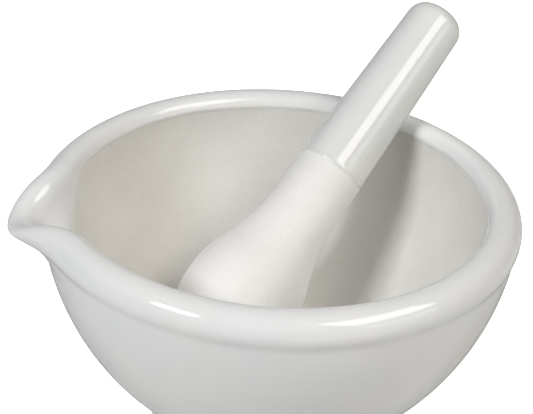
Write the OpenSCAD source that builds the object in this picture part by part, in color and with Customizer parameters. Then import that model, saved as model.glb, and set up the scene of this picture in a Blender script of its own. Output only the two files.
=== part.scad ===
// Porcelain laboratory mortar with a pouring spout, and its pestle leaning in the bowl.
// Origin: centre of the flat underside of the mortar's foot. +Z is up, and the spout points along -X.

/* [Mortar] */
// Outside diameter of the rim, without the spout
rim_d = 120; // [118:0.5:122]
// Height from the underside of the foot to the top of the rim
mortar_h = 68; // [67:0.5:70]
// Inside diameter of the bowl, whose grinding face is half a sphere
bowl_d = 102.6; // [101:0.2:103.4]
// Rounding radius of the rim's outer side
rim_outer_r = 5.1; // [4.8:0.1:5.4]
// How far the rim stands proud of the wall under it
rim_bead = 0.6; // [0.4:0.1:0.9]
// Radius of the hollow curve where the rim runs into the wall
rim_fillet_r = 8; // [6:0.5:10]
// Radius of the arc that the outside of the wall follows
belly_r = 71.5; // [69:0.5:74]

/* [Foot] */
// Outside diameter of the foot ring
foot_d = 62; // [59:0.5:64]
// Height at which the wall's arc, carried on inwards, would meet the side of the foot
foot_h = 10; // [9:0.5:11]
// Radius of the hollow curve where the foot runs into the wall
foot_fillet_r = 5; // [4:0.5:6]
// Chamfer around the foot's lower edge
foot_chamfer = 0.8; // [0.4:0.1:1.2]
// Diameter of the hollow inside the foot ring
recess_d = 50; // [44:0.5:53]
// Depth of the hollow inside the foot ring
recess_h = 2.5; // [1:0.1:3]

/* [Spout] */
// How far the spout's lip reaches out past the rim
spout_reach = 8; // [6:0.1:9]
// Half of the angle that the spout takes up around the rim
spout_half_angle = 24.5; // [22:0.5:30]
// How sharply the spout narrows to its lip
spout_sharpness = 3.3; // [2.5:0.1:4]
// How far the spout's lip dips below the rim
spout_drop = 5; // [3:0.1:6]
// Height over which the spout fades into the wall below it
spout_fade_h = 14; // [12:0.5:16]
// How far the rim swells out on both sides of the spout
shoulder_reach = 1; // [0.5:0.1:1.5]
// Half of the angle that the swelling takes up around the rim
shoulder_half_angle = 52; // [46:1:56]

/* [Pestle] */
// Length from the tip of the grinding face to the top of the handle
pestle_l = 117; // [112:0.5:122]
// Greatest diameter of the head
head_d = 31.2; // [30.5:0.1:31.6]
// Height of the head's greatest diameter above the tip of the grinding face
head_widest_at = 21; // [20:0.5:23]
// Radius of the grinding face at its tip
face_r = 24; // [22:0.5:28]
// Rounding radius between the grinding face and the side of the head
head_round_r = 12; // [11:0.2:12.6]
// Radius of the arc that the side of the head follows
head_side_r = 30; // [28:0.5:34]
// Radius of the hollow curve between the head and the handle
neck_r = 55; // [45:1:60]
// Diameter of the handle at its top end
handle_top_d = 15.4; // [14:0.1:16.4]
// Angle by which each side of the handle tapers towards its top
handle_taper = 1.65; // [1:0.05:2]
// Rounding radius around the top of the handle
handle_round_r = 4.8; // [3:0.1:5.5]
// Radius of the domed top of the handle
handle_dome_r = 24; // [18:0.5:30]

/* [Rest] */
// Angle between the leaning pestle and the vertical
lean = 52.6; // [52:0.1:52.8]
// Compass angle that the pestle leans towards, counted from +X
lean_towards = 36.9; // [30:0.1:45]
// Compass angle of the spot where the head rests, seen from the middle of the bowl
touch_towards = 184.2; // [182:0.1:187]
// Slope down to the spot where the head rests, seen from the centre of the bowl's sphere
touch_slope = 68.9; // [68.5:0.1:69.5]
// Clearance left between the pestle and the mortar where they touch
touch_gap = 0.3; // [0.2:0.05:0.5]

/* [Hidden] */
$fn = 120;

rim_r = rim_d / 2;
bowl_r = bowl_d / 2;
foot_r = foot_d / 2;
recess_r = recess_d / 2;
head_r = head_d / 2;

// Points below are [radius from the axis, height]
rim_inner_r = rim_r - rim_outer_r - bowl_r;
rim_mid = [rim_r - rim_outer_r, mortar_h - rim_outer_r];
rim_inner_mid = [rim_mid.x, mortar_h - rim_inner_r];
bowl_mid = [0, rim_inner_mid.y];

// The belly arc passes the rim's widest level inside the bead, and clears the foot by its fillet
wall_top = [rim_r - rim_bead, rim_mid.y];
foot_neck = [foot_r, foot_h];
belly_mid = circles_meet(wall_top, belly_r, foot_neck, belly_r, 1);
rim_fillet_mid = circles_meet(rim_mid, rim_outer_r + rim_fillet_r, belly_mid, belly_r + rim_fillet_r, -1);
foot_fillet_x = foot_r + foot_fillet_r;
foot_fillet_mid = [foot_fillet_x, belly_mid.y - leg(belly_r + foot_fillet_r, foot_fillet_x - belly_mid.x)];

// Largest gap between a curve and the short straight steps that it is turned in
chord_gap = 0.01;
// Margin by which cutters pass the surfaces that they cut
margin = 1;

// The spout's sector is rebuilt from this height up, as one lofted surface
notch_z = mortar_h - spout_fade_h - 3;
// The loft starts this far outside the sector and this far under its skin, so that the two join cleanly
loft_overlap = 1;
loft_inset = 0.04;
loft_step = 2;
belly_steps = 4;
fillet_steps = 4;
rim_steps = 8;
bowl_steps = belly_steps + fillet_steps;

// Pestle points are [radius from its axis, height above the tip of the grinding face]
face_mid = [0, face_r];
side_mid = [head_r - head_side_r, head_widest_at];
round_mid = circles_meet(face_mid, face_r - head_round_r, side_mid, head_side_r - head_round_r, -1);
taper_dir = [-sin(handle_taper), cos(handle_taper)];
taper_out = [cos(handle_taper), sin(handle_taper)];
handle_top = [handle_top_d / 2, pestle_l];
neck_mid = line_meets_circle(handle_top + neck_r * taper_out, taper_dir, side_mid, head_side_r + neck_r);
dome_mid = [0, pestle_l - handle_dome_r];
top_round_mid = line_meets_circle(handle_top - handle_round_r * taper_out, taper_dir,
    dome_mid, handle_dome_r - handle_round_r);

// The head's rounding touches the bowl's sphere, and the place of the whole pestle follows from that
lean_dir = direction(lean_towards, 90 - lean);
touch_dir = direction(touch_towards, -touch_slope);
off_axis = touch_dir - (touch_dir * lean_dir) * lean_dir;
round_spot = [0, 0, bowl_mid.y] + (bowl_r - touch_gap - head_round_r) * touch_dir;
pestle_tip = round_spot - round_mid.y * lean_dir - round_mid.x * off_axis / norm(off_axis);

// Remaining side of a right-angled triangle
function leg(long_side, side) = sqrt(long_side * long_side - side * side);

// Direction at a compass angle, and at an angle above the horizontal
function direction(compass, rise) = [cos(rise) * cos(compass), cos(rise) * sin(compass), sin(rise)];

// One of the two points where the circles around a and b meet, to the right (1) or left (-1) of a to b
function circles_meet(a, a_r, b, b_r, side) =
    let (
        gap = norm(b - a),
        dir = (b - a) / gap,
        reach = (a_r * a_r - b_r * b_r + gap * gap) / (2 * gap)
    )
    a + reach * dir + side * leg(a_r, reach) * [dir.y, -dir.x];

// Point furthest along dir where the line through start meets the circle around centre
function line_meets_circle(start, dir, centre, r) =
    let (
        nearest = start + ((centre - start) * dir) * dir
    )
    nearest + leg(r, norm(centre - nearest)) * dir;

// Angle of the direction from a to b
function bearing(a, b) = atan2(b.y - a.y, b.x - a.x);

// Direction at an angle within the plane of a turned outline
function polar(angle) = [cos(angle), sin(angle)];

// Rows of the loft along an arc: [point, outward normal]; facing is -1 where the arc is hollow
function arc_rows(centre, r, from, to, steps, facing) = [
    for (i = [0 : steps - 1])
        let (dir = polar(from + (to - from) * i / steps))
        [centre + r * dir, facing * dir]
];

// Rows up the outside of the wall, ending on the crest of the rim
function outer_rows() = concat(
    arc_rows(belly_mid, belly_r, asin((notch_z - margin - belly_mid.y) / belly_r),
        bearing(belly_mid, rim_fillet_mid), belly_steps, 1),
    arc_rows(rim_fillet_mid, rim_fillet_r, bearing(rim_fillet_mid, belly_mid),
        bearing(rim_fillet_mid, rim_mid), fillet_steps, -1),
    arc_rows(rim_mid, rim_outer_r, bearing(rim_mid, rim_fillet_mid), 90, rim_steps, 1)
);

// Rows up the inside of the bowl, ending just short of the crest of the rim
function inner_rows() = concat(
    arc_rows(bowl_mid, bowl_r, asin((notch_z - margin - bowl_mid.y) / bowl_r), 0, bowl_steps, -1),
    arc_rows(rim_inner_mid, rim_inner_r, 180, 90, rim_steps, 1)
);

// Share of the spout's full reach at an angle from its middle, and at a depth below the rim
function beak(angle) = abs(angle) < spout_half_angle
    ? pow(cos(90 * angle / spout_half_angle), spout_sharpness) : 0;
function shoulder(angle) = abs(angle) < shoulder_half_angle
    ? pow(cos(90 * angle / shoulder_half_angle), 2) : 0;
function smooth(share) = share * share * (3 - 2 * share);
function fade(height) = smooth(min(1, max(0, 1 - (mortar_h - height) / spout_fade_h)));

// One point of the loft: a row, swung to an angle from the spout's middle and pulled out to the spout
function loft_point(row, angle) =
    let (
        skin = row[0] - loft_inset * row[1],
        share = fade(row[0].y),
        out = skin.x + share * (spout_reach * beak(angle) + shoulder_reach * shoulder(angle)),
        up = skin.y - share * spout_drop * pow(beak(angle), 2)
    )
    [-out * cos(angle), -out * sin(angle), up];

// Points along an arc of a turned outline, close enough together to stay within chord_gap of it
function arc(centre, r, from, to) =
    let (
        steps = ceil(abs(to - from) / (2 * acos(1 - chord_gap / r)))
    )
    [for (i = [0 : steps]) centre + r * polar(from + (to - from) * i / steps)];

module round_mortar() {
    // The outline goes out along the foot, up the wall, over the rim and back to the axis
    rotate_extrude() {
        difference() {
            polygon(concat(
                [[0, recess_h], [recess_r, recess_h], [recess_r, 0]],
                [[foot_r - foot_chamfer, 0], [foot_r, foot_chamfer]],
                arc(foot_fillet_mid, foot_fillet_r, 180, bearing(foot_fillet_mid, belly_mid)),
                arc(belly_mid, belly_r, bearing(belly_mid, foot_fillet_mid),
                    bearing(belly_mid, rim_fillet_mid)),
                arc(rim_fillet_mid, rim_fillet_r, bearing(rim_fillet_mid, belly_mid),
                    bearing(rim_fillet_mid, rim_mid)),
                arc(rim_mid, rim_outer_r, bearing(rim_mid, rim_fillet_mid), 90),
                arc(rim_inner_mid, rim_inner_r, 90, 180),
                [bowl_mid]
            ));
            translate(bowl_mid) circle(bowl_r);
        }
    }
}

module spout_sector() {
    // Wedge of the upper wall that the spout's loft takes the place of
    side = rim_d * tan(shoulder_half_angle);
    translate([0, 0, notch_z])
        linear_extrude(mortar_h)
            polygon([[0, 0], [-rim_d, -side], [-rim_d, side]]);
}

module spout_loft() {
    // Each ring goes up the outside, over the crest and down the inside of the wall
    crest = [[rim_mid.x, mortar_h], [0, 1]];
    outer = outer_rows();
    inner = inner_rows();
    rows = concat(outer, [crest], [for (i = [len(inner) - 1 : -1 : 0]) inner[i]]);
    count = len(rows);
    half = shoulder_half_angle + loft_overlap;
    rings = ceil(2 * half / loft_step);
    points = [
        for (ring = [0 : rings], row = rows)
            loft_point(row, -half + 2 * half * ring / rings)
    ];
    sides = [
        for (ring = [0 : rings - 1], i = [0 : count - 1])
            let (
                a = ring * count + i,
                b = ring * count + (i + 1) % count
            )
            each [[a, b, b + count], [a, b + count, a + count]]
    ];
    last = rings * count;
    caps = [
        for (i = [0 : len(outer) - 2])
            let (
                a = i,
                b = i + 1,
                c = count - 2 - i,
                d = count - 1 - i
            )
            each [
                [a, d, c], [a, c, b],
                [last + a, last + c, last + d], [last + a, last + b, last + c]
            ]
    ];
    tip = len(outer) - 1;
    tips = [[tip, tip + 2, tip + 1], [last + tip, last + tip + 1, last + tip + 2]];
    polyhedron(points, concat(sides, caps, tips));
}

module mortar() {
    color("#f1f0ea") {
        difference() {
            round_mortar();
            spout_sector();
        }
        spout_loft();
    }
}

module pestle_profile() {
    // The outline goes up from the tip of the grinding face to the top of the handle
    polygon(concat(
        arc(face_mid, face_r, -90, bearing(face_mid, round_mid)),
        arc(round_mid, head_round_r, bearing(face_mid, round_mid), bearing(side_mid, round_mid)),
        arc(side_mid, head_side_r, bearing(side_mid, round_mid), bearing(side_mid, neck_mid)),
        arc(neck_mid, neck_r, 180 + bearing(side_mid, neck_mid), 180 + handle_taper),
        arc(top_round_mid, handle_round_r, handle_taper, bearing(dome_mid, top_round_mid)),
        arc(dome_mid, handle_dome_r, bearing(dome_mid, top_round_mid), 90)
    ));
}

module pestle() {
    color("#efede6")
        translate(pestle_tip)
            rotate([0, lean, lean_towards])
                rotate_extrude()
                    pestle_profile();
}

mortar();
pestle();
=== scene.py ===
"""A glazed porcelain mortar with a pouring spout, and its pestle leaning in the bare grinding bowl.

Sizes are in millimetres and angles in degrees, except that lamps and the stage are in metres. Meshes are
written in metres, in the frame of the CAD model. Points of an outline are [radius from the axis, height].
"""

import math

import bpy
import numpy as np
from mathutils import Matrix, Vector


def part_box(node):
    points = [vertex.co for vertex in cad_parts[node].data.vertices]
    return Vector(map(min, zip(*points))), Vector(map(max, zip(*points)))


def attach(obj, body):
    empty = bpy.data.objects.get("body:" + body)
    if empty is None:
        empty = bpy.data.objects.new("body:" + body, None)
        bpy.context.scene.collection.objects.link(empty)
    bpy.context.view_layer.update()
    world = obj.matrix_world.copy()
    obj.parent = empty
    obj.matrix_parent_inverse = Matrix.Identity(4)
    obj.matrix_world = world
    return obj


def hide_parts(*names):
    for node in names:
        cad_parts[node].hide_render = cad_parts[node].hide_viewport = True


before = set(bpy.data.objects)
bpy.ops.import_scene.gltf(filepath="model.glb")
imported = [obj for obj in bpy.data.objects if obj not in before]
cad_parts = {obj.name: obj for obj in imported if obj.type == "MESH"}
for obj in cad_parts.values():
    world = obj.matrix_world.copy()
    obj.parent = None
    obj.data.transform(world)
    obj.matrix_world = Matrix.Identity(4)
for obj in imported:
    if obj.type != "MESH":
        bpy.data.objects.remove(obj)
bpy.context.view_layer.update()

MM = 0.001
SAME_POINT = 1e-3
AXIS_Z = np.array([0.0, 0.0, 1.0])

# Mortar, from the CAD model's box
MORTAR_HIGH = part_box("mortar")[1] / MM
RIM_R = MORTAR_HIGH.y
MORTAR_H = MORTAR_HIGH.z
BOWL_R = 51.3
RIM_OUTER_R = 5.1
RIM_INNER_R = RIM_R - RIM_OUTER_R - BOWL_R
RIM_BEAD = 0.6
RIM_FILLET_R = 8.0
BELLY_R = 71.5

# Foot of the mortar
FOOT_R = 31.0
FOOT_H = 10.0
FOOT_FILLET_R = 5.0
FOOT_EDGE_R = 0.8
RECESS_R = 25.0
RECESS_H = 2.5

# Spout of the mortar
SPOUT_REACH = 7.88
SPOUT_HALF_ANGLE = 24.5
SPOUT_SHARPNESS = 3.3
SPOUT_DROP = 5.0
SPOUT_FADE_H = 14.0
SHOULDER_REACH = 1.0
SHOULDER_HALF_ANGLE = 52.0

# Pestle
PESTLE_L = 116.95
HEAD_R = 15.6
HEAD_WIDEST_AT = 21.0
FACE_R = 24.0
HEAD_ROUND_R = 12.0
HEAD_SIDE_R = 30.0
NECK_R = 55.0
HANDLE_TOP_R = 7.7
HANDLE_TAPER = 1.65
HANDLE_ROUND_R = 4.8
HANDLE_DOME_R = 24.0

# How the pestle rests: its lean from upright and its compass angle, then the spot on the bowl that the
# head rests over, as a compass angle and a slope below the bowl's middle, and the gap left there
LEAN = 52.6
LEAN_TOWARDS = 36.9
TOUCH_TOWARDS = 184.2
TOUCH_SLOPE = 68.9
TOUCH_GAP = 0.3

# Glaze: its thickness, the bead that it pools into beside its edge, and where it ends under the rim,
# in the spout, at the foot and on the pestle
GLAZE_T = 0.15
GLAZE_EDGE_W = 0.3
GLAZE_BEAD_T = 0.12
GLAZE_BEAD_AT = 0.8
GLAZE_BEAD_W = 0.5
RIM_GLAZE_DEPTH = 3.4
SPOUT_GLAZE_R = 51.6
FOOT_GLAZE_H = 0.5
PESTLE_GLAZE_AT = 62.6

# Waves in a glaze line dipped by hand: millimetres, how many go round the piece, and phase in radians
WAVER = ((0.16, 3, 0.4), (0.1, 8, 2), (0.06, 21, 1))

# Grinding wear: how high it reaches in the bowl, and how far along the pestle's head
BOWL_WEAR_H = 34.0
HEAD_WEAR_AT = 17.0

# Longest mesh face along each part of an outline, and degrees between its turned copies
EDGE_STEP = 0.2
LIP_STEP = 0.25
RIM_STEP = 0.35
FINE_STEP = 0.5
FOOT_STEP = 1.0
WALL_STEP = 1.2
RECESS_STEP = 2.0
MORTAR_TURN_STEP = 1.25
HEAD_STEP = 0.8
HANDLE_STEP = 1.2
HANDLE_ROUND_STEP = 0.3
HANDLE_DOME_STEP = 0.6
PESTLE_TURN_STEP = 2.0

# Share of the handle, from the neck up, with short faces because the glaze ends there
GLAZE_LINE_SHARE = 0.3

# Porcelain: roughness from its smoothest to its dullest, how much wear takes off it, and how strong the
# wear's patches are; then where the glaze is pooled, in millimetres from its edge, and how strongly
BARE_ROUGHNESS = (0.62, 0.8)
GLAZE_ROUGHNESS = (0.03, 0.06)
RUBBED_SMOOTHER = 0.16
WEAR_PATCHES = (0.35, 0.85)
POOLED_FROM = 0.1
POOLED_TO = 1.6
POOLED_SHARE = 0.75

# Strength of the bare body's dark grain, and the tone of pinholes in the glaze
GRAIN_SHARE = 0.3
PINHOLE_TONE = (0.45, 0.42, 0.37)

# Noise: how fast its finer detail fades, and the values between which most of each kind turns over
NOISE_ROUGHNESS = 0.55
NOISE_RANGE = (0.3, 0.7)
CLOUD_RANGE = (0.35, 0.65)
GRAIN_RANGE = (0.3, 0.75)

# Camera, seen from the middle of the rim, then turned a little to the left, down and round
VIEW_TOWARDS = -102.7
VIEW_RISE = 29.08
VIEW_DISTANCE = 420.0
VIEW_TURN = 0.465
VIEW_TILT = -0.661
VIEW_ROLL = 3.56
LENS = 114.6
SENSOR_W = 36.0

# Lamps: their distance from the middle of the rim, and their colours; then the light from all round
LAMP_DISTANCE = 1.5
COOL = (0.975, 0.985, 1.0)
WARM = (1.0, 0.97, 0.92)
NEUTRAL = (1, 1, 1)
WORLD_STRENGTH = 0.01

# Stage: half its width, how much it glows, and how far the floor that bounces light lies below the other
STAGE_HALF = 3.0
STAGE_TONE = (0.9, 0.9, 0.9)
STAGE_ROUGHNESS = 0.9
FLOOR_GLOW = 0.85
WALL_GLOW = 1.0
BOUNCE_TONE = (0.68, 0.68, 0.67)
BOUNCE_DROP = 0.5 * MM


def polar(angle):
    """Unit vector at an angle within the plane of an outline."""
    return np.array([math.cos(math.radians(angle)), math.sin(math.radians(angle))])


def direction(towards, rise):
    """Unit vector towards a compass angle from +X, rising above the horizontal."""
    return np.array([*(math.cos(math.radians(rise)) * polar(towards)), math.sin(math.radians(rise))])


def leg(long_side, side):
    return math.sqrt(long_side * long_side - side * side)


def bearing(a, b):
    return math.degrees(math.atan2(b[1] - a[1], b[0] - a[0]))


def circles_meet(a, a_r, b, b_r, side):
    """One of the two points where two circles meet, right (1) or left (-1) of the way from a to b."""
    a, b = np.array(a, float), np.array(b, float)
    gap = np.linalg.norm(b - a)
    along = (b - a) / gap
    reach = (a_r * a_r - b_r * b_r + gap * gap) / (2 * gap)
    return a + reach * along + side * leg(a_r, reach) * np.array([along[1], -along[0]])


def line_meets_circle(start, along, centre, r):
    """The point furthest along a line where it meets a circle."""
    nearest = start + ((centre - start) @ along) * along
    return nearest + leg(r, np.linalg.norm(centre - nearest)) * along


def arc(centre, r, start, end, step, facing=1):
    """Rows [radius, height, normal's radius, normal's height] along an arc, with facing -1 if hollow."""
    count = max(2, math.ceil(abs(math.radians(end - start)) * r / step))
    rows = []
    for i in range(count + 1):
        out = polar(start + (end - start) * i / count)
        rows.append([*(centre + r * out), *(facing * out)])
    return rows


def straight(start, end, step):
    """Rows along a straight line, with the normal to its right."""
    start, end = np.array(start, float), np.array(end, float)
    length = np.linalg.norm(end - start)
    along = (end - start) / length
    count = max(1, math.ceil(length / step))
    return [[*(start + along * length * i / count), along[1], -along[0]] for i in range(count + 1)]


def join(*pieces):
    """One outline out of several, without the rows that two pieces share."""
    rows = list(pieces[0])
    for piece in pieces[1:]:
        shared = math.dist(rows[-1][:2], piece[0][:2]) < SAME_POINT
        rows += piece[1:] if shared else piece
    return np.array(rows)


def smooth(share):
    share = np.clip(share, 0, 1)
    return share * share * (3 - 2 * share)


def mortar_outlines():
    """The outside, from the middle of the underside to the rim's crest, and the inside from there down."""
    rim_mid = np.array([RIM_R - RIM_OUTER_R, MORTAR_H - RIM_OUTER_R])
    rim_inner_mid = np.array([rim_mid[0], MORTAR_H - RIM_INNER_R])
    bowl_mid = np.array([0, rim_inner_mid[1]])
    belly_mid = circles_meet([RIM_R - RIM_BEAD, rim_mid[1]], BELLY_R, [FOOT_R, FOOT_H], BELLY_R, 1)
    fillet_mid = circles_meet(rim_mid, RIM_OUTER_R + RIM_FILLET_R, belly_mid, BELLY_R + RIM_FILLET_R, -1)
    foot_x = FOOT_R + FOOT_FILLET_R
    foot_mid = np.array([foot_x, belly_mid[1] - leg(BELLY_R + FOOT_FILLET_R, foot_x - belly_mid[0])])
    recess_edge_mid = np.array([RECESS_R - FOOT_EDGE_R, RECESS_H - FOOT_EDGE_R])
    outside = join(
        straight([0, RECESS_H], [RECESS_R - FOOT_EDGE_R, RECESS_H], RECESS_STEP),
        arc(recess_edge_mid, FOOT_EDGE_R, 90, 0, EDGE_STEP, -1),
        arc(np.array([RECESS_R + FOOT_EDGE_R, FOOT_EDGE_R]), FOOT_EDGE_R, 180, 270, EDGE_STEP),
        straight([RECESS_R + FOOT_EDGE_R, 0], [FOOT_R - FOOT_EDGE_R, 0], FOOT_STEP),
        arc(np.array([FOOT_R - FOOT_EDGE_R, FOOT_EDGE_R]), FOOT_EDGE_R, -90, 0, EDGE_STEP),
        straight([FOOT_R, FOOT_EDGE_R], [FOOT_R, foot_mid[1]], FOOT_STEP),
        arc(foot_mid, FOOT_FILLET_R, 180, bearing(foot_mid, belly_mid), FINE_STEP, -1),
        arc(belly_mid, BELLY_R, bearing(belly_mid, foot_mid), bearing(belly_mid, fillet_mid), WALL_STEP),
        arc(fillet_mid, RIM_FILLET_R, bearing(fillet_mid, belly_mid), bearing(fillet_mid, rim_mid),
            FINE_STEP, -1),
        arc(rim_mid, RIM_OUTER_R, bearing(rim_mid, fillet_mid), 90, RIM_STEP),
    )
    spout_bottom = math.degrees(math.asin(SPOUT_FADE_H / BOWL_R))
    inside = join(
        arc(rim_inner_mid, RIM_INNER_R, 90, 180, LIP_STEP),
        arc(bowl_mid, BOWL_R, 0, -spout_bottom, FINE_STEP, -1),
        arc(bowl_mid, BOWL_R, -spout_bottom, -90, WALL_STEP, -1),
    )
    return outside, inside[1:]


def beak(angle):
    """Share of the spout's full reach at an angle from its middle."""
    turn = np.clip(angle / SPOUT_HALF_ANGLE, -1, 1)
    return np.maximum(np.cos(np.radians(90 * turn)), 0) ** SPOUT_SHARPNESS


def shoulder(angle):
    """Share of the soft shoulder's full reach at an angle from the spout's middle."""
    turn = np.clip(angle / SHOULDER_HALF_ANGLE, -1, 1)
    return np.cos(np.radians(90 * turn)) ** 2


def mortar_points(rows, angle):
    """The outline's rows swung to an angle from the spout's middle, and pulled out to the spout."""
    share = smooth(1 - (MORTAR_H - rows[:, 1]) / SPOUT_FADE_H)
    out = rows[:, 0] + share * (SPOUT_REACH * beak(angle) + SHOULDER_REACH * shoulder(angle))
    up = rows[:, 1] - share * SPOUT_DROP * beak(angle) ** 2
    return np.column_stack([out[:, None] * -polar(angle), up])


def waver(angle):
    """Millimetres that a glaze line wanders at an angle around the piece."""
    turn = math.radians(angle)
    return sum(reach * math.sin(count * turn + phase) for reach, count, phase in WAVER)


def mortar_glaze(rows, points, inside_from):
    """Distance in millimetres from each point to where the glaze ends, less than 0 where it is bare."""
    above_line = rows[:, 1] - (MORTAR_H - RIM_GLAZE_DEPTH)
    in_spout = np.hypot(points[:, 0], points[:, 1]) - SPOUT_GLAZE_R
    distance = np.maximum(above_line, in_spout)
    # On the outside only the ring that the mortar stands on is bare, by a whole millimetre
    foot = np.maximum(rows[:, 1] - FOOT_GLAZE_H, 0) - np.where(rows[:, 1] < FOOT_GLAZE_H, 1.0, 0.0)
    distance[:inside_from] = foot[:inside_from]
    return distance


def point_values(mesh, name, values):
    """Gives each point of a lathe mesh its value, from one row of values per ring."""
    values = np.array(values)
    values = np.concatenate([[values[0, 0], values[0, -1]], values[:, 1:-1].ravel()])
    mesh.attributes.new(name, "FLOAT", "POINT").data.foreach_set("value", values.astype(np.float32))


def lathe(name, rings, normals, glaze, wear):
    """A closed mesh of rings around an axis; the first and the last row of each ring lie on the axis.

    The surface is let in by the glaze's thickness where it is bare, and swells to a bead beside the edge.
    """
    rings = np.array(rings)
    bare = 1 - smooth(np.array(glaze) / GLAZE_EDGE_W + 0.5)
    bead = np.exp(-(((np.array(glaze) - GLAZE_BEAD_AT) / GLAZE_BEAD_W) ** 2))
    rings = rings + (GLAZE_BEAD_T * bead - GLAZE_T * bare)[..., None] * np.array(normals)
    count, rows = rings.shape[:2]
    inner = rings[:, 1:-1].reshape(-1, 3)
    points = np.vstack([rings[0, 0], rings[0, -1], inner])
    turn = np.arange(count)[:, None] * (rows - 2) + 2
    row = np.arange(rows - 2)[None]
    this, following = turn + row, np.roll(turn, -1, 0) + row
    quads = np.stack([this[:, :-1], following[:, :-1], following[:, 1:], this[:, 1:]], -1).reshape(-1, 4)
    starts = np.column_stack([np.zeros(count, int), following[:, 0], this[:, 0]])
    ends = np.column_stack([np.ones(count, int), this[:, -1], following[:, -1]])
    mesh = bpy.data.meshes.new(name)
    mesh.from_pydata((points * MM).tolist(), [], quads.tolist() + starts.tolist() + ends.tolist())
    mesh.shade_smooth()
    point_values(mesh, "glaze_edge", glaze)
    point_values(mesh, "wear", wear)
    mesh.update()
    piece = bpy.data.objects.new(name, mesh)
    bpy.context.scene.collection.objects.link(piece)
    return piece


def make_mortar():
    """The mortar; its normals are zeroed outside the bowl, so that the foot's bare ring isn't let in."""
    outside, inside = mortar_outlines()
    rows = np.vstack([outside, inside])
    within = np.arange(len(rows)) >= len(outside)
    wear = np.where(within, smooth(1 - rows[:, 1] / BOWL_WEAR_H), smooth(1 - rows[:, 1] / FOOT_GLAZE_H))
    rings, normals, glaze = [], [], []
    for angle in np.arange(-180, 180, MORTAR_TURN_STEP):
        points = mortar_points(rows, angle)
        rings.append(points)
        normals.append(within[:, None] * np.column_stack([rows[:, 2][:, None] * -polar(angle), rows[:, 3]]))
        glaze.append(mortar_glaze(rows, points, len(outside)) + within * waver(angle))
    return lathe("mortar_porcelain", rings, normals, glaze, [wear] * len(rings))


def pestle_centres():
    """Centres of the grinding face, the head's rounding and side, the neck, the handle's end and dome."""
    face_mid = np.array([0, FACE_R])
    side_mid = np.array([HEAD_R - HEAD_SIDE_R, HEAD_WIDEST_AT])
    round_mid = circles_meet(face_mid, FACE_R - HEAD_ROUND_R, side_mid, HEAD_SIDE_R - HEAD_ROUND_R, -1)
    along = np.array([-math.sin(math.radians(HANDLE_TAPER)), math.cos(math.radians(HANDLE_TAPER))])
    out = polar(HANDLE_TAPER)
    top = np.array([HANDLE_TOP_R, PESTLE_L])
    neck_mid = line_meets_circle(top + NECK_R * out, along, side_mid, HEAD_SIDE_R + NECK_R)
    dome_mid = np.array([0, PESTLE_L - HANDLE_DOME_R])
    end_start = top - HANDLE_ROUND_R * out
    end_mid = line_meets_circle(end_start, along, dome_mid, HANDLE_DOME_R - HANDLE_ROUND_R)
    return face_mid, round_mid, side_mid, neck_mid, end_mid, dome_mid


def pestle_outline():
    face_mid, round_mid, side_mid, neck_mid, end_mid, dome_mid = pestle_centres()
    neck_top = neck_mid - NECK_R * polar(HANDLE_TAPER)
    handle_end = end_mid + HANDLE_ROUND_R * polar(HANDLE_TAPER)
    short_end = neck_top + (handle_end - neck_top) * GLAZE_LINE_SHARE
    return join(
        arc(face_mid, FACE_R, -90, bearing(face_mid, round_mid), HEAD_STEP),
        arc(round_mid, HEAD_ROUND_R, bearing(face_mid, round_mid), bearing(side_mid, round_mid), HEAD_STEP),
        arc(side_mid, HEAD_SIDE_R, bearing(side_mid, round_mid), bearing(side_mid, neck_mid), HEAD_STEP),
        arc(neck_mid, NECK_R, 180 + bearing(side_mid, neck_mid), 180 + HANDLE_TAPER, HEAD_STEP, -1),
        straight(neck_top, short_end, EDGE_STEP),
        straight(short_end, handle_end, HANDLE_STEP),
        arc(end_mid, HANDLE_ROUND_R, HANDLE_TAPER, bearing(dome_mid, end_mid), HANDLE_ROUND_STEP),
        arc(dome_mid, HANDLE_DOME_R, bearing(dome_mid, end_mid), 90, HANDLE_DOME_STEP),
    )


def pestle_place():
    """The tip of the pestle and the way that it points, with its head just off the bowl."""
    lean = direction(LEAN_TOWARDS, 90 - LEAN)
    touch = direction(TOUCH_TOWARDS, -TOUCH_SLOPE)
    off_axis = touch - (touch @ lean) * lean
    off_axis /= np.linalg.norm(off_axis)
    round_mid = pestle_centres()[1]
    round_spot = (MORTAR_H - RIM_INNER_R) * AXIS_Z + (BOWL_R - TOUCH_GAP - HEAD_ROUND_R) * touch
    return round_spot - round_mid[1] * lean - round_mid[0] * off_axis, lean


def make_pestle():
    rows = pestle_outline()
    tip, lean = pestle_place()
    side = np.cross(AXIS_Z, lean)
    side /= np.linalg.norm(side)
    front = np.cross(lean, side)
    rings, normals, glaze = [], [], []
    for angle in np.arange(0, 360, PESTLE_TURN_STEP):
        out = polar(angle)[0] * side + polar(angle)[1] * front
        rings.append(tip + rows[:, 1][:, None] * lean + rows[:, 0][:, None] * out)
        normals.append(rows[:, 3][:, None] * lean + rows[:, 2][:, None] * out)
        glaze.append(rows[:, 1] - PESTLE_GLAZE_AT + waver(angle))
    wear = smooth(1 - rows[:, 1] / HEAD_WEAR_AT)
    return lathe("pestle_porcelain", rings, normals, glaze, [wear] * len(rings))


def add_node(tree, kind, place, **inputs):
    node = tree.nodes.new(kind)
    node.location = place
    for name, value in inputs.items():
        node.inputs[name].default_value = value
    return node


def attribute(tree, place, name):
    node = add_node(tree, "ShaderNodeAttribute", place)
    node.attribute_name = name
    return node.outputs["Fac"]


def noise(tree, place, grain, detail=3.0):
    """Soft noise from 0 to 1 with spots of about this many millimetres."""
    coords = add_node(tree, "ShaderNodeTexCoord", (place[0] - 200, place[1]))
    scale = 1 / (grain * MM)
    node = add_node(tree, "ShaderNodeTexNoise", place, Scale=scale, Detail=detail, Roughness=NOISE_ROUGHNESS)
    tree.links.new(coords.outputs["Object"], node.inputs["Vector"])
    return node.outputs["Fac"]


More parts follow.
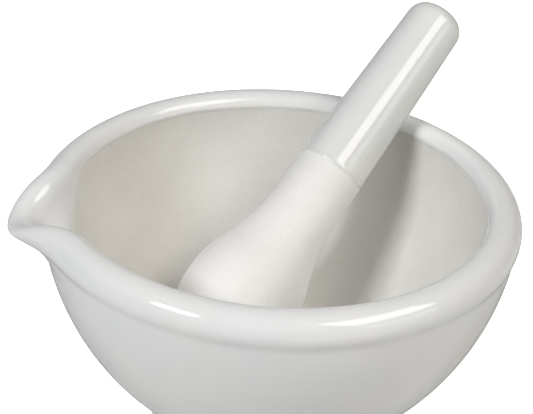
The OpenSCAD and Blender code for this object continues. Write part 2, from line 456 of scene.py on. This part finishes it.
def dots(tree, place, spacing, size, share):
    """1 in round dots of this spacing and size in millimetres, of which a share is kept, and else 0."""
    coords = add_node(tree, "ShaderNodeTexCoord", (place[0] - 200, place[1]))
    cells = add_node(tree, "ShaderNodeTexVoronoi", place, Scale=1 / (spacing * MM))
    tree.links.new(coords.outputs["Object"], cells.inputs["Vector"])
    distance = cells.outputs["Distance"]
    near = ramp(tree, (place[0] + 200, place[1]), distance, 0.25, 0.5, 1, 0, size / spacing)
    split = add_node(tree, "ShaderNodeSeparateColor", (place[0] + 200, place[1] - 250))
    tree.links.new(cells.outputs["Color"], split.inputs["Color"])
    kept = maths(tree, (place[0] + 400, place[1] - 250), "LESS_THAN", split.outputs["Red"], share)
    return maths(tree, (place[0] + 600, place[1]), "MULTIPLY", near, kept)


def ramp(tree, place, value, start, end, low, high, scale=1.0):
    """Low at start and high at end of a value, with a smooth step between; scale stretches both ends."""
    node = add_node(tree, "ShaderNodeMapRange", place)
    node.interpolation_type = "SMOOTHSTEP"
    node.inputs["From Min"].default_value = start * scale
    node.inputs["From Max"].default_value = end * scale
    node.inputs["To Min"].default_value = low
    node.inputs["To Max"].default_value = high
    tree.links.new(value, node.inputs["Value"])
    return node.outputs["Result"]


def maths(tree, place, operation, a, b):
    node = add_node(tree, "ShaderNodeMath", place)
    node.operation = operation
    for socket, value in zip(node.inputs, (a, b)):
        if isinstance(value, float):
            socket.default_value = value
        else:
            tree.links.new(value, socket)
    return node.outputs["Value"]


def mix(tree, place, factor, a, b):
    """Colour a turning into colour b as the factor goes from 0 to 1."""
    node = add_node(tree, "ShaderNodeMix", place)
    node.data_type = "RGBA"
    tree.links.new(factor, node.inputs["Factor"])
    for socket, colour in ((node.inputs[6], a), (node.inputs[7], b)):
        if isinstance(colour, tuple):
            socket.default_value = (*colour, 1)
        else:
            tree.links.new(colour, socket)
    return node.outputs[2]


def bump(tree, place, height, depth, strength, below=None):
    """Raises the surface by depth in millimetres where height is 1, on top of the bump below it."""
    node = add_node(tree, "ShaderNodeBump", place, Distance=depth * MM)
    tree.links.new(height, node.inputs["Height"])
    tree.links.new(strength, node.inputs["Strength"])
    if below:
        tree.links.new(below, node.inputs["Normal"])
    return node.outputs["Normal"]


def bare_colour(tree, tone, worn, wear):
    """Matte fired body: cloudy tone, fine dark grain, pits, and a greyer tone where it is worn."""
    darker = tuple(0.955 * part for part in tone)
    deep = tuple(0.8 * part for part in tone)
    cloud = ramp(tree, (-1300, 900), noise(tree, (-1500, 900), grain=16.0), *CLOUD_RANGE, 0, 1)
    grain = ramp(tree, (-1300, 700), noise(tree, (-1500, 700), grain=0.5), *GRAIN_RANGE, 0, GRAIN_SHARE)
    pits = dots(tree, (-1500, 500), spacing=2.2, size=0.3, share=0.5)
    colour = mix(tree, (-900, 900), cloud, darker, tone)
    colour = mix(tree, (-700, 900), grain, colour, deep)
    colour = mix(tree, (-500, 900), pits, colour, deep)
    return mix(tree, (-300, 900), wear, colour, worn)


def glazed_colour(tree, tone, pooled, edge):
    """Clear glaze: faintly cloudy, pooled to a deeper tone beside its edge, with a few pinholes."""
    cooler = (0.975 * tone[0], 0.985 * tone[1], tone[2])
    cloud = ramp(tree, (-1300, 100), noise(tree, (-1500, 100), grain=22.0), *CLOUD_RANGE, 0, 1)
    near = ramp(tree, (-1300, -100), edge, POOLED_FROM, POOLED_TO, POOLED_SHARE, 0)
    pinholes = dots(tree, (-1500, -300), spacing=9.0, size=0.22, share=0.3)
    colour = mix(tree, (-900, 100), cloud, cooler, tone)
    colour = mix(tree, (-700, 100), near, colour, pooled)
    return mix(tree, (-500, 100), pinholes, colour, PINHOLE_TONE)


def porcelain(name, bare_tone, worn_tone, glaze_tone, pooled_tone):
    """White porcelain: glossy where the glaze_edge attribute is above 0, and bare and matte below."""
    material = bpy.data.materials.new(name)
    material.use_nodes = True
    tree = material.node_tree
    shader = tree.nodes["Principled BSDF"]
    edge = attribute(tree, (-2000, 300), "glaze_edge")
    half = GLAZE_EDGE_W / 2
    glazed = ramp(tree, (-1700, 300), edge, -half, half, 0, 1)
    bare = ramp(tree, (-1700, 0), edge, -half, half, 1, 0)
    patches = noise(tree, (-1900, 1300), grain=6.0, detail=4.0)
    patchy = ramp(tree, (-1700, 1300), patches, *NOISE_RANGE, *WEAR_PATCHES)
    wear = maths(tree, (-1500, 1300), "MULTIPLY", attribute(tree, (-1900, 1500), "wear"), patchy)

    under = bare_colour(tree, bare_tone, worn_tone, wear)
    over = glazed_colour(tree, glaze_tone, pooled_tone, edge)
    tree.links.new(mix(tree, (-100, 500), glazed, under, over), shader.inputs["Base Color"])

    matte = ramp(tree, (-900, -600), noise(tree, (-1100, -600), grain=3.0), *NOISE_RANGE, *BARE_ROUGHNESS)
    rubbed = maths(tree, (-700, -750), "MULTIPLY", wear, RUBBED_SMOOTHER)
    matte = maths(tree, (-500, -600), "SUBTRACT", matte, rubbed)
    uneven = noise(tree, (-1100, -900), grain=14.0)
    glossy = ramp(tree, (-900, -900), uneven, *NOISE_RANGE, *GLAZE_ROUGHNESS)
    matte = maths(tree, (-300, -600), "MULTIPLY", matte, bare)
    glossy = maths(tree, (-300, -900), "MULTIPLY", glossy, glazed)
    tree.links.new(maths(tree, (-100, -700), "ADD", matte, glossy), shader.inputs["Roughness"])

    grain = noise(tree, (-1100, -1200), grain=0.5)
    normal = bump(tree, (-900, -1200), grain, depth=0.035, strength=bare)
    lumps = noise(tree, (-1100, -1400), grain=2.5)
    normal = bump(tree, (-700, -1300), lumps, depth=0.06, strength=bare, below=normal)
    swell = noise(tree, (-1100, -1600), grain=12.0, detail=1.0)
    normal = bump(tree, (-500, -1400), swell, depth=0.04, strength=glazed, below=normal)
    ripple = noise(tree, (-1100, -1800), grain=1.6, detail=1.0)
    normal = bump(tree, (-300, -1500), ripple, depth=0.0012, strength=glazed, below=normal)
    tree.links.new(normal, shader.inputs["Normal"])
    return material


def plain_material(name, colour, glow=0.0):
    material = bpy.data.materials.new(name)
    material.use_nodes = True
    shader = material.node_tree.nodes["Principled BSDF"]
    shader.inputs["Base Color"].default_value = (*colour, 1)
    shader.inputs["Roughness"].default_value = STAGE_ROUGHNESS
    shader.inputs["Emission Color"].default_value = (1, 1, 1, 1)
    shader.inputs["Emission Strength"].default_value = glow
    return material


def dress(piece, material, node):
    """Gives a piece its material, and lets it stand for a CAD node and move with that node's body."""
    piece.data.materials.append(material)
    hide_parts(node)
    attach(piece, node)


def make_stage(name, corners, faces, material):
    mesh = bpy.data.meshes.new(name)
    mesh.from_pydata(corners, [], faces)
    mesh.materials.append(material)
    piece = bpy.data.objects.new(name, mesh)
    bpy.context.scene.collection.objects.link(piece)
    return piece


def make_floor():
    """A white floor and walls for the camera only, and a duller unseen floor that throws light back."""
    half = STAGE_HALF
    low = [(-half, -half, 0), (half, -half, 0), (half, half, 0), (-half, half, 0)]
    high = [(x, y, 2 * half) for x, y, z in low]
    walls = [(0, 1, 5, 4), (1, 2, 6, 5), (2, 3, 7, 6), (3, 0, 4, 7), (4, 5, 6, 7)]
    floor = make_stage("floor", low, [(0, 1, 2, 3)], plain_material("white_table", STAGE_TONE, FLOOR_GLOW))
    backdrop = make_stage("backdrop", low + high, walls, plain_material("white_wall", STAGE_TONE, WALL_GLOW))
    for seen in (floor, backdrop):
        seen.visible_diffuse = False
        seen.visible_glossy = False
        seen.visible_shadow = False
    bounce = make_stage("floor_bounce", low, [(0, 1, 2, 3)], plain_material("bounce_table", BOUNCE_TONE))
    bounce.location.z = -BOUNCE_DROP
    bounce.visible_camera = False


def softbox(name, towards, rise, width, height, power, colour):
    """A rectangular lamp that faces the middle of the rim; towards is counted from the camera's side."""
    data = bpy.data.lights.new(name, "AREA")
    data.shape = "RECTANGLE"
    data.size = width
    data.size_y = height
    data.energy = power
    data.color = colour
    lamp = bpy.data.objects.new(name, data)
    bpy.context.scene.collection.objects.link(lamp)
    rim = Vector((0, 0, MORTAR_H * MM))
    out = Vector(direction(VIEW_TOWARDS + towards, rise))
    lamp.location = rim + out * LAMP_DISTANCE
    lamp.rotation_euler = out.to_track_quat("Z", "Y").to_euler()
    lamp.visible_camera = False
    return lamp


def make_lights():
    softbox("key", towards=-48, rise=38, width=0.46, height=0.32, power=14.5, colour=COOL)
    softbox("window", towards=61, rise=50, width=1.06, height=0.66, power=12.5, colour=WARM)
    softbox("window_sill", towards=58, rise=20, width=0.9, height=0.4, power=2.0, colour=WARM)
    back_fill = softbox("back_fill", towards=176, rise=9, width=1.8, height=0.4, power=8.0, colour=NEUTRAL)
    back_fill.visible_glossy = False
    world = bpy.data.worlds.new("studio")
    world.use_nodes = True
    bpy.context.scene.world = world
    world.node_tree.nodes["Background"].inputs["Color"].default_value = (1, 1, 1, 1)
    world.node_tree.nodes["Background"].inputs["Strength"].default_value = WORLD_STRENGTH
    bpy.context.scene.view_settings.view_transform = "Standard"


def make_camera():
    """Looks down at the rim from the front, a little to the spout's side, with a slight roll."""
    data = bpy.data.cameras.new("camera")
    data.lens = LENS
    data.sensor_width = SENSOR_W
    data.clip_start = 0.01
    camera = bpy.data.objects.new("camera", data)
    bpy.context.scene.collection.objects.link(camera)
    out = Vector(direction(VIEW_TOWARDS, VIEW_RISE))
    rotation = out.to_track_quat("Z", "Y")
    for angle, axis in ((VIEW_TURN, "Y"), (VIEW_TILT, "X"), (VIEW_ROLL, "Z")):
        rotation = rotation @ Matrix.Rotation(math.radians(angle), 3, axis).to_quaternion()
    camera.rotation_mode = "QUATERNION"
    camera.rotation_quaternion = rotation
    camera.location = (Vector((0, 0, MORTAR_H)) + out * VIEW_DISTANCE) * MM
    bpy.context.scene.camera = camera


make_camera()
make_lights()
make_floor()
mortar_material = porcelain(
    "mortar_finish",
    bare_tone=(0.79, 0.775, 0.742),
    worn_tone=(0.73, 0.725, 0.71),
    glaze_tone=(0.828, 0.828, 0.82),
    pooled_tone=(0.79, 0.795, 0.78),
)
pestle_material = porcelain(
    "pestle_finish",
    bare_tone=(0.88, 0.87, 0.85),
    worn_tone=(0.81, 0.805, 0.79),
    glaze_tone=(0.79, 0.795, 0.78),
    pooled_tone=(0.76, 0.765, 0.745),
)
dress(make_mortar(), mortar_material, "mortar")
dress(make_pestle(), pestle_material, "pestle")
